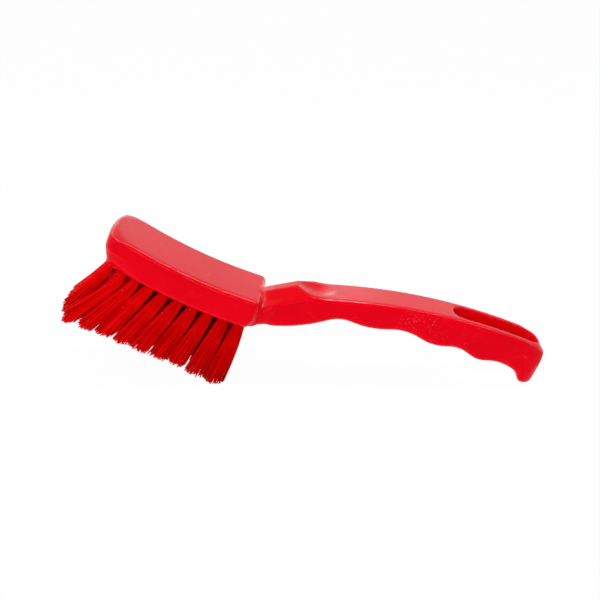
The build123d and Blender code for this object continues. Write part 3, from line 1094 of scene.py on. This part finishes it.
@dataclass
class TuftMaker:
    """Makes one tuft: a bundle of filaments, tight in its hole and loose at its tips."""

    axes: BrushAxes
    filaments: int = 70
    filament_radius: float = 0.35 * MM
    sides: int = 5
    spans: int = 5
    hole_depth: float = 8.4 * MM
    root_radius: float = 2.45 * MM
    toe_root_radius: float = 1.75 * MM
    tip_radius: float = 5.4 * MM
    side_tip_radius: float = 4.5 * MM
    tip_jitter: float = 0.10 * MM
    lean_jitter: float = 0.7 * MM
    heel_reach: float = 1.3 * MM
    toe_narrowing: float = 4.0 * MM
    toe_reach: float = 0.9 * MM
    toe_lift: float = 7.0 * MM
    tip_trim: float = 2.3 * MM
    ragged: float = 1.0 * MM
    tuft_ragged: float = 0.6 * MM
    stray_share: float = 0.05
    stray_reach: float = 0.9 * MM
    crowding: float = 0.42
    bend_share: float = 0.22
    bulge: float = 0.32
    heel_bulge: float = 0.14
    seed: int = 41

    def __post_init__(self) -> None:
        """Make the one filament that every tuft repeats: a closed prism along Z, 0 to 1."""
        bm = bmesh.new()
        bmesh.ops.create_circle(bm, cap_ends=True, radius=1.0, segments=self.sides)
        foot = list(bm.faces)
        level = foot
        for _ in range(self.spans):
            grown = bmesh.ops.extrude_face_region(bm, geom=level)["geom"]
            level = [g for g in grown if isinstance(g, bmesh.types.BMFace)]
            verts = [g for g in grown if isinstance(g, bmesh.types.BMVert)]
            bmesh.ops.translate(bm, verts=verts, vec=(0.0, 0.0, 1.0 / self.spans))
        bmesh.ops.recalc_face_normals(bm, faces=bm.faces)
        self.template = bpy.data.meshes.new("filament")
        bm.to_mesh(self.template)
        bm.free()

    def build(self, place: TuftPlace) -> bpy.types.Object:
        """Make the tuft that stands at a place.

        Args:
            place: The mouth of its hole and the middle of its tips.

        Returns:
            The tuft, at the origin with its place in its mesh.
        """
        chance = random.Random(f"{self.seed}{place.name}")
        out = (place.tip - place.mouth).normalized()
        lengthwise = (self.axes.along - out * self.axes.along.dot(out)).normalized()
        sideways = out.cross(lengthwise)
        shift = chance.uniform(-1.0, 1.0) * self.tuft_ragged
        shift -= self.tip_trim * (1 - place.at_heel)
        root_radius = self.root_radius + (self.toe_root_radius - self.root_radius) * place.at_toe
        aside = self.axes.along * (self.root_radius - root_radius) * 1.4
        mouth_middle = place.mouth + aside
        outset = out * (1 - place.at_toe) - self.axes.upward * place.at_toe
        outset += self.axes.along * self.heel_bulge * place.at_heel
        outset.normalize()
        loose = 1 - 0.7 * place.at_toe
        middle = (
            place.tip
            - self.axes.along * self.toe_reach * place.at_toe
            + self.axes.along * chance.uniform(-1.0, 1.0) * self.lean_jitter * loose
            + self.axes.across * chance.uniform(-1.0, 1.0) * self.lean_jitter
        )
        bm = bmesh.new()
        tone = bm.verts.layers.float.new("filament_tone")
        run = bm.verts.layers.float.new("filament_run")
        golden = math.pi * (3 - math.sqrt(5))
        turn = chance.uniform(0, math.tau)
        for i in range(self.filaments):
            share = ((i + 0.5) / self.filaments) ** self.crowding
            angle = turn + i * golden
            spot = lengthwise * math.cos(angle) + sideways * math.sin(angle)
            lean = math.cos(angle)
            wide = self.tip_radius
            if lean > 0:
                wide += self.heel_reach * place.at_heel
            else:
                wide -= self.toe_narrowing * place.at_toe
            lengthways = self.axes.along * lean * wide
            lift = self.toe_lift * place.at_toe * max(0.0, -lean * share) ** 2
            crossways = self.axes.across * math.sin(angle) * self.side_tip_radius
            stray = 1 + (self.stray_reach / self.tip_radius) * (chance.random() < self.stray_share)
            jitter = Vector((chance.gauss(0, 1), chance.gauss(0, 1))) * self.tip_jitter
            root = mouth_middle - out * self.hole_depth + spot * share * root_radius
            mouth = mouth_middle + spot * share * root_radius
            tip = (
                middle
                + (lengthways + crossways) * share * stray
                + self.axes.upward * lift
                + self.axes.along * jitter.x
                + self.axes.across * jitter.y
            )
            reach = shift + chance.triangular(-1.5, 0.9, 0.1) * self.ragged
            tip += (tip - mouth).normalized() * reach
            tip = self.kept_in(mouth, tip)
            pull = mouth + outset * (tip - mouth).length * self.bend_share
            pull += (lengthways + crossways) * share * self.bulge
            self.lay(bm, (tone, run), (root, mouth, pull, tip), chance.random())
        mesh = bpy.data.meshes.new(place.name)
        bm.to_mesh(mesh)
        bm.free()
        mesh.shade_smooth()
        obj = bpy.data.objects.new("bristles_" + place.name, mesh)
        bpy.context.scene.collection.objects.link(obj)
        return obj

    def kept_in(self, mouth: Vector, tip: Vector) -> Vector:
        """Shorten a filament so that it stays over the floor and inside the solid's reach.

        Args:
            mouth: Where it leaves its hole.
            tip: Where it would end.

        Returns:
            Where it ends.
        """
        clear = self.filament_radius
        low = cad_low + Vector((clear, clear, clear))
        high = cad_high - Vector((clear, clear, clear))
        tip = Vector((tip.x, min(max(tip.y, low.y), high.y), tip.z))
        share = 1.0
        if tip.z < low.z:
            share = min(share, (mouth.z - low.z) / (mouth.z - tip.z))
        if tip.x < low.x:
            share = min(share, (mouth.x - low.x) / (mouth.x - tip.x))
        return mouth + (tip - mouth) * share

    def lay(
        self,
        bm: bmesh.types.BMesh,
        layers: tuple,
        line: tuple[Vector, Vector, Vector, Vector],
        shade: float,
    ) -> None:
        """Add one filament, straight in its hole and bending a little to its tip.

        Args:
            bm: The tuft's bmesh.
            layers: The tone and run layers.
            line: Foot of the filament, where it leaves the hole, what it bends to, and its end.
            shade: Its own tone, 0 to 1.
        """
        root, mouth, pull, tip = line
        start = len(bm.verts)
        bm.from_mesh(self.template)
        bm.verts.ensure_lookup_table()
        tone, run = layers
        heading = (mouth - root).normalized()
        side = (self.axes.across.cross(heading)).normalized()
        other = heading.cross(side)
        for index in range(start, len(bm.verts)):
            vert = bm.verts[index]
            along = vert.co.z
            level = round(along * self.spans)
            if level == 0:
                centre = root
            else:
                t = (level - 1) / (self.spans - 1)
                centre = mouth * (1 - t) ** 2 + pull * 2 * t * (1 - t) + tip * t**2
            offset = (side * vert.co.x + other * vert.co.y) * self.filament_radius
            vert[tone] = shade
            vert[run] = along
            vert.co = centre + offset


# Studio


class LampRole(Enum):
    """What a lamp is for."""

    OVERHEAD = "overhead"
    FRONT = "front"
    RIM = "rim"
    GLINT = "glint"


@dataclass(frozen=True)
class Lamp:
    """A soft rectangular lamp that faces the brush."""

    role: LampRole
    place: Vector
    width: float
    depth: float
    power: float

    def build(self, target: Vector) -> bpy.types.Object:
        """Add the lamp, turned to a target."""
        data = bpy.data.lights.new(self.role.value, "AREA")
        data.shape = "RECTANGLE"
        data.size = self.width
        data.size_y = self.depth
        data.energy = self.power
        obj = bpy.data.objects.new(self.role.value, data)
        obj.location = self.place
        obj.rotation_mode = "QUATERNION"
        facing = (self.place - target).normalized()
        level = (Vector((1.0, 0.0, 0.0)) - facing * facing.x).normalized()
        turned = Matrix((level, facing.cross(level), facing)).transposed()
        obj.rotation_quaternion = turned.to_quaternion()
        bpy.context.scene.collection.objects.link(obj)
        return obj


@dataclass
class Studio:
    """Pale sweep, soft light and the camera at the photograph's angle."""

    floor_reach: float = 6.0
    azimuth: float = math.radians(2.285)
    elevation: float = math.radians(20.724)
    distance: float = 0.560
    roll: float = math.radians(0.81)
    aim: Vector = field(default_factory=lambda: Vector((-0.0003, 0.0, 0.0429)))
    lens: float = 60.0
    sensor: float = 36.0
    ambient: float = 0.42

    def build(self) -> None:
        """Make the floor, the world, the lamps and the camera."""
        self.build_floor()
        self.build_world()
        self.build_camera()
        for lamp in (
            Lamp(LampRole.OVERHEAD, Vector((0.24, 0.08, 0.80)), 0.60, 0.06, 1.5),
            Lamp(LampRole.GLINT, Vector((0.08, 0.06, 0.80)), 0.10, 0.04, 0.9),
            Lamp(LampRole.FRONT, Vector((-0.45, -1.05, 0.60)), 0.8, 0.6, 6.2),
            Lamp(LampRole.RIM, Vector((-0.80, 0.10, 0.45)), 0.3, 0.3, 0.8),
        ):
            lamp.build(self.aim)

    def build_floor(self) -> None:
        """Lay the pale sweep just under the brush."""
        bm = bmesh.new()
        bmesh.ops.create_grid(bm, x_segments=1, y_segments=1, size=self.floor_reach)
        mesh = bpy.data.meshes.new("pale_sweep")
        bm.to_mesh(mesh)
        bm.free()
        mesh.materials.append(PaleTable().build())
        obj = bpy.data.objects.new("pale_sweep", mesh)
        bpy.context.scene.collection.objects.link(obj)

    def build_world(self) -> None:
        """Even ambient light, seen as white by the camera and in reflections."""
        world = bpy.data.worlds.new("studio")
        world.use_nodes = True
        bpy.context.scene.world = world
        board = Board(world.node_tree)
        path = board.add("LightPath")
        seen = board.math("MAXIMUM", path.outputs["Is Camera Ray"], path.outputs["Is Glossy Ray"])
        seen = board.math("MAXIMUM", seen, path.outputs["Is Transmission Ray"])
        strength = board.add("Mix", {"data_type": "FLOAT"})
        board.feed(seen, strength.inputs[0])
        board.feed(self.ambient, strength.inputs[2])
        board.feed(1.0, strength.inputs[3])
        background = world.node_tree.nodes["Background"]
        background.inputs["Color"].default_value = (1.0, 1.0, 1.0, 1.0)
        board.feed(strength.outputs[0], background.inputs["Strength"])

    def build_camera(self) -> None:
        """Stand the camera where the photograph was taken from."""
        data = bpy.data.cameras.new("camera")
        data.lens = self.lens
        data.sensor_width = self.sensor
        data.dof.use_dof = False
        data.clip_start = 0.01
        data.clip_end = 30.0
        obj = bpy.data.objects.new("camera", data)
        look = Vector(
            (
                -math.sin(self.azimuth) * math.cos(self.elevation),
                math.cos(self.azimuth) * math.cos(self.elevation),
                -math.sin(self.elevation),
            )
        )
        obj.rotation_mode = "QUATERNION"
        level = look.to_track_quat("-Z", "Y").to_matrix().to_4x4()
        turned = level @ Matrix.Rotation(self.roll, 4, "Z")
        obj.rotation_quaternion = turned.to_quaternion()
        obj.location = self.aim - look * self.distance
        bpy.context.scene.collection.objects.link(obj)
        bpy.context.scene.camera = obj


def main() -> None:
    """Build the studio and every piece of the brush."""
    logging.basicConfig(level=logging.INFO, format="%(name)s: %(message)s")
    bpy.context.scene.view_settings.view_transform = "Standard"
    axes = BrushAxes()
    Studio().build()
    effects = Effects()
    moulding = Moulding(axes)
    skin = settle(
        moulding.build(), MouldedPlastic().build(effects, moulding)
    )
    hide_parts("handle_block")
    log.info("%s: %d faces", skin.name, len(skin.data.polygons))
    nylon = BristleNylon().build(effects)
    maker = TuftMaker(axes)
    for place in TuftField(axes).places():
        tuft = settle(maker.build(place), nylon)
        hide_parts(place.name)
    log.info("tufts: %d filaments each", maker.filaments)
    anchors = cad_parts["tuft_anchors"]
    anchors.data.materials.clear()
    anchors.data.materials.append(AnchorSteel().build(effects))
    log.info("%s: steel", anchors.name)


if __name__ == "__main__":
    main()
